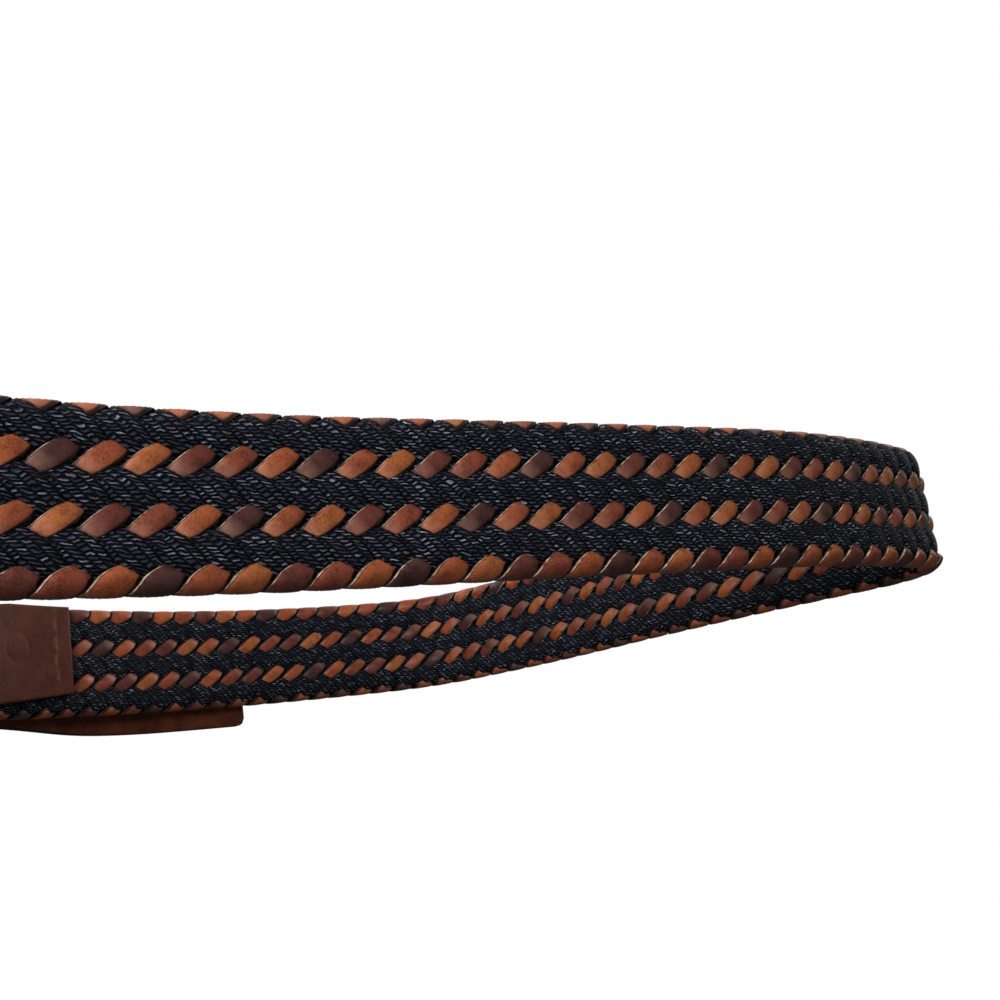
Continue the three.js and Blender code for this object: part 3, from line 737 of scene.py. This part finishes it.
def punch(piece, places):  # round holes right through, each given as along, out, up and stretch
    for along, out, up, stretch, radius in places:
        bpy.ops.mesh.primitive_cylinder_add(vertices=32, radius=radius * mm, depth=0.012)
        cutter = bpy.context.object
        a, b = onBelt(np.array([along, along + 1]), np.array([out, out]), up)
        heading = (b - a) / np.linalg.norm(b - a)
        frameOf = Matrix((heading, (0, 0, 1), np.cross(heading, (0, 0, 1)))).transposed().to_4x4()
        frameOf.translation = (a + np.array([shift[0], shift[1], 0])) * mm
        cutter.matrix_world = frameOf @ Matrix.Diagonal((stretch, 1, 1, 1))
        cut = piece.modifiers.new("punch", "BOOLEAN")
        cut.operation = "DIFFERENCE"
        cut.solver = "EXACT"
        cut.object = cutter
        bpy.context.view_layer.objects.active = piece
        bpy.ops.object.modifier_apply(modifier=cut.name)
        bpy.data.objects.remove(cutter, do_unlink=True)


def makeStrap():
    across = 16
    section = leatherSection(across)
    around = len(section) - 1
    start, end = -strap["seam"] - strap["sleeve"], strap["reach"]
    look = {"face": "78432f", "deep": "482619", "edge": "1c0d08"}
    finish = bridleLeather("bridle_leather_strap", look, around, across)
    for name, side in (("strap_outer_layer", 1), ("strap_inner_layer", -1)):
        def place(share, index):
            along = start + share * (end - start)
            out, up = strapLine(along)
            ply = strap["thickness"] / 4
            gap = np.interp(along, [-strap["seam"], -strap["seam"] + strap["ramp"]], [plyOut, ply])
            fromTip = np.clip(end - along, 0, strap["tipCorner"])
            inset = strap["tipCorner"] - np.sqrt(strap["tipCorner"] ** 2 - (strap["tipCorner"] - fromTip) ** 2)
            half = strap["width"] / 2 - edgeTrim["side"] - inset
            high = section[index, 1] * (ply - edgeTrim["face"])
            return onBelt(along, out + side * gap + high, up + section[index, 0] * half)

        piece = wrapGrid(name, 320, around, place)
        dress(piece, finish, "strap_leather", *(["tip_strap"] if side > 0 else []))
        holes = []
        for number in range(strap["holes"]):
            along = strap["prongHole"] + strap["holeStep"] * (number - (strap["holes"] - 1) / 2)
            out, up = strapLine(np.array(along))
            inUse = number == (strap["holes"] - 1) / 2
            holes.append((along, float(out), float(up), strap["prongStretch"] if inUse else 1, strap["hole"] / 2))
        punch(piece, holes)
    print("strap")


def makeKeeper():
    low = keeper["place"] + keeper["width"]
    inside = {
        "inner": -plyTogether - tab["ply"] / 2 - clearance,
        "outer": float(strapLine(np.array(low))[0]) + strap["thickness"] / 2 + clearance,
        "low": float(tabMiddle(low)) - tab["width"] / 2 - clearance,
        "high": strapMiddle + strap["width"] / 2 + clearance,
    }
    wall = keeper["wall"] / 2
    radius = keeper["wall"] / 2 + clearance
    width = inside["outer"] - inside["inner"] + 2 * wall
    height = inside["high"] - inside["low"] + 2 * wall
    centre = [(inside["inner"] + inside["outer"]) / 2, (inside["low"] + inside["high"]) / 2]
    section = leatherSection(8, 3)
    around = len(section) - 1

    def place(share, index):
        spot, normal = roundedRoute(share, width, height, radius)
        wide = section[index, 0] * (keeper["width"] / 2 - keeper["sideTrim"])
        high = section[index, 1] * (wall - edgeTrim["face"])
        out = centre[0] + spot[0] + normal[0] * high
        up = centre[1] + spot[1] + normal[1] * high
        return onBelt(keeper["place"] + keeper["width"] / 2 + wide, out, up)

    piece = wrapGrid("keeper_leather", 240, around, place, ring=True)
    look = {"face": "54301f", "deep": "28150f", "edge": "1c0e0a"}
    dress(piece, bridleLeather("bridle_leather_keeper", look, around, 8), "tab_leather", "keeper_loop")
    print("keeper")


def roundedRoute(share, width, height, radius):  # once round a rounded rectangle, with its outward side
    wide, high = width / 2 - radius, height / 2 - radius
    corner = radius * math.pi / 2
    lengths = [high, corner, 2 * wide, corner, 2 * high, corner, 2 * wide, corner, high]
    starts = np.concatenate([[0], np.cumsum(lengths)])
    run = np.mod(share, 1) * starts[-1]
    turn = np.interp(run, starts, math.pi / 2 * np.array([0, 0, 1, 1, 2, 2, 3, 3, 4, 4]))
    # the middle of the corner that is being turned, or that the straight side leads to
    x = np.interp(run, starts, wide * np.array([1, 1, 1, -1, -1, -1, -1, 1, 1, 1]))
    y = np.interp(run, starts, high * np.array([0, 1, 1, 1, 1, -1, -1, -1, -1, 0]))
    return (x + radius * np.cos(turn), y + radius * np.sin(turn)), (np.cos(turn), np.sin(turn))


# brushed and lacquered steel: fine lines along the bars, soft reflections
def brushedSteel(name):
    material, tree, shader = newMaterial(name)
    coords = addNode(tree, "ShaderNodeTexCoord")
    lines = addNode(tree, "ShaderNodeMapping", {"Vector": coords.outputs["UV"], "Scale": (6, 90, 1)})
    brush = addNode(tree, "ShaderNodeTexNoise", {"Vector": lines.outputs[0], "Scale": 6, "Detail": 4})
    tone = addNode(tree, "ShaderNodeMix", {
        "Factor": brush.outputs["Fac"], "A": hexColour("8d8a84"), "B": hexColour("b9b5ac")}, data_type="RGBA")
    tree.links.new(tone.outputs["Result"], shader.inputs["Base Color"])
    rough = addNode(tree, "ShaderNodeMapRange", {
        "Value": brush.outputs["Fac"], "To Min": 0.24, "To Max": 0.45})
    tree.links.new(rough.outputs[0], shader.inputs["Roughness"])
    bump = addNode(tree, "ShaderNodeBump", {
        "Height": brush.outputs["Fac"], "Strength": 0.15, "Distance": 0.00005})
    tree.links.new(bump.outputs["Normal"], shader.inputs["Normal"])
    shader.inputs["Metallic"].default_value = 1
    return material


def makeBuckle():
    steel = brushedSteel("brushed_steel")
    window = strap["width"] + 2 * buckle["slack"]
    height = window + buckle["sideBar"]
    length = buckle["length"] - (buckle["sideBar"] + buckle["heelBar"]) / 2
    centre = frontBar / 2
    slope = buckle["frontOut"] / frontBar
    turns = np.linspace(0, 2 * math.pi, 25)
    square = 0.55  # between a round bar and a square one
    bar = np.stack([np.sign(np.cos(turns)) * np.abs(np.cos(turns)) ** square,
                    np.sign(np.sin(turns)) * np.abs(np.sin(turns)) ** square], axis=1)

    def placeFrame(share, index):
        spot, normal = roundedRoute(share, length, height, buckle["corner"])
        heel = np.clip(normal[0], 0, 1)
        wide = (buckle["sideBar"] * (1 - heel) + buckle["heelBar"] * heel) / 2 * bar[index, 0]
        along = centre + spot[0] + normal[0] * wide
        up = strapMiddle + spot[1] + normal[1] * wide
        return onBelt(along, slope * along + buckle["thickness"] / 2 * bar[index, 1], up)

    dress(wrapGrid("buckle_frame", 400, 24, placeFrame, ring=True), steel, "buckle_metal", "buckle")

    radius = buckle["prong"] / 2
    overStrap = overFold + strap["thickness"] / 2 + clearance + radius
    hole = strap["prongHole"]
    # along and out of the prong's middle, from inside the heel bar to the front bar
    knots = np.array([
        (0, 0), (hole + buckle["prong"], foldRadius * 0.4), (hole, overFold),
        (hole - buckle["prong"], overStrap + clearance), (frontBar / 2, overStrap + 2 * clearance),
        (frontBar - buckle["sideBar"] / 2, buckle["frontOut"] + buckle["thickness"] / 2 + radius / 2),
    ])
    steps = np.concatenate([[0], np.cumsum(np.sqrt(np.hypot(*np.diff(knots, axis=0).T)))])

    def route(value):
        begin = np.clip(np.searchsorted(steps, value, side="right") - 1, 0, len(knots) - 2)
        part = (value - steps[begin]) / (steps[begin + 1] - steps[begin])
        tangents = np.gradient(knots, steps, axis=0)
        width = (steps[begin + 1] - steps[begin])[:, None]
        t = part[:, None]
        return ((2 * t ** 3 - 3 * t ** 2 + 1) * knots[begin] + (t ** 3 - 2 * t ** 2 + t) * width * tangents[begin]
                + (3 * t ** 2 - 2 * t ** 3) * knots[begin + 1] + (t ** 3 - t ** 2) * width * tangents[begin + 1])

    def placeProng(share, index):
        spot = route(share * steps[-1])
        ahead = route(np.minimum(share + 0.01, 1) * steps[-1]) - route(np.maximum(share - 0.01, 0) * steps[-1])
        ahead /= np.linalg.norm(ahead, axis=1)[:, None]
        size = radius * np.sqrt(np.clip(share / 0.01, 0.05, 1)) * np.sqrt(np.clip((1 - share) / 0.02, 0.05, 1))
        angle = 2 * math.pi * index / 20
        along = spot[:, 0] - ahead[:, 1] * size * np.cos(angle)
        out = spot[:, 1] + ahead[:, 0] * size * np.cos(angle)
        return onBelt(along, out, strapMiddle + size * np.sin(angle))

    dress(wrapGrid("buckle_prong", 120, 20, placeProng), steel, "buckle_metal", "buckle")
    print("buckle")


makeTab()
makeStrap()
makeKeeper()
makeBuckle()


def shownWhite(tree, light, strength, output):  # white to the camera, and softer light on the belt
    path = addNode(tree, "ShaderNodeLightPath")
    white = addNode(tree, "ShaderNodeEmission", {"Color": (1, 1, 1, 1), "Strength": strength})
    mix = addNode(tree, "ShaderNodeMixShader", {
        0: path.outputs["Is Camera Ray"], 1: light, 2: white.outputs[0]})
    tree.links.new(mix.outputs[0], output.inputs["Surface"])


studio = {
    "skyLight": 0.07,
    "floorLight": 0.15,
    "lights": {
        "key": {"spot": (0.14, -0.46, -0.06), "aim": (0.03, -0.14, 0.02), "size": (0.25, 0.15), "power": 1.8},
        "low": {"spot": (0.12, -0.33, -0.25), "aim": (0, -0.12, 0.02), "size": (0.4, 0.3), "power": 1.1},
        "fill": {"spot": (-0.8, -0.7, 0.6), "aim": (0, 0, 0.02), "size": (0.8, 0.8), "power": 0.6},
        "backLeft": {"spot": (0.5, 0.9, -0.4), "aim": (0.1, 0, 0.02), "size": (0.6, 0.6), "power": 9},
        "backRight": {"spot": (-0.6, 0.8, -0.4), "aim": (-0.05, 0.1, 0.02), "size": (0.6, 0.6), "power": 7},
    },
}


def makeFloor():
    bpy.ops.mesh.primitive_plane_add(size=4)
    floor = bpy.context.object
    floor.name = "floor"
    material, tree, shader = newMaterial("white_table")
    shader.inputs["Base Color"].default_value = hexColour("c8c8c8")
    shader.inputs["Roughness"].default_value = 0.8
    shader.inputs["Emission Color"].default_value = (1, 1, 1, 1)
    shader.inputs["Emission Strength"].default_value = studio["floorLight"]
    output = next(node for node in tree.nodes if node.type == "OUTPUT_MATERIAL")
    shownWhite(tree, shader.outputs[0], 1.0, output)
    floor.data.materials.append(material)
    floor.visible_shadow = False  # a light table: the lights under it shine up through it


def makeLights():
    for name, row in studio["lights"].items():
        data = bpy.data.lights.new(name, "AREA")
        data.shape = "RECTANGLE"
        data.size, data.size_y = row["size"]
        data.energy = row["power"]
        light = bpy.data.objects.new(name, data)
        spot, aim = Vector(row["spot"]), Vector(row["aim"])
        light.location = spot
        light.rotation_euler = (aim - spot).to_track_quat("-Z", "Y").to_euler()
        bpy.context.scene.collection.objects.link(light)
    world = bpy.data.worlds.new("studio")
    bpy.context.scene.world = world
    world.use_nodes = True
    tree = world.node_tree
    sky = tree.nodes["Background"]
    sky.inputs["Color"].default_value = (1, 1, 1, 1)
    sky.inputs["Strength"].default_value = studio["skyLight"]
    shownWhite(tree, sky.outputs[0], 1.0, tree.nodes["World Output"])
    bpy.context.scene.view_settings.view_transform = "Standard"


# the photo is taken from just above the near side, with the camera turned over
camera = {
    "spot": (-38.69, -314.32, 74.19),
    "dip": 0.2277,  # radians below level
    "roll": 0.1502,  # radians past upside down
    "lens": 43.3,
}


def makeCamera():
    dip, roll = camera["dip"], camera["roll"]
    right = (-math.cos(roll), math.sin(dip) * math.sin(roll), math.cos(dip) * math.sin(roll))
    up = (-math.sin(roll), -math.sin(dip) * math.cos(roll), -math.cos(dip) * math.cos(roll))
    back = (0, -math.cos(dip), math.sin(dip))
    data = bpy.data.cameras.new("camera")
    data.lens = camera["lens"]
    data.clip_start = 0.01
    view = bpy.data.objects.new("camera", data)
    place = Matrix([right, up, back]).transposed().to_4x4()
    place.translation = [value * mm for value in camera["spot"]]
    view.matrix_world = place
    bpy.context.scene.collection.objects.link(view)
    bpy.context.scene.camera = view


makeFloor()
makeLights()
makeCamera()
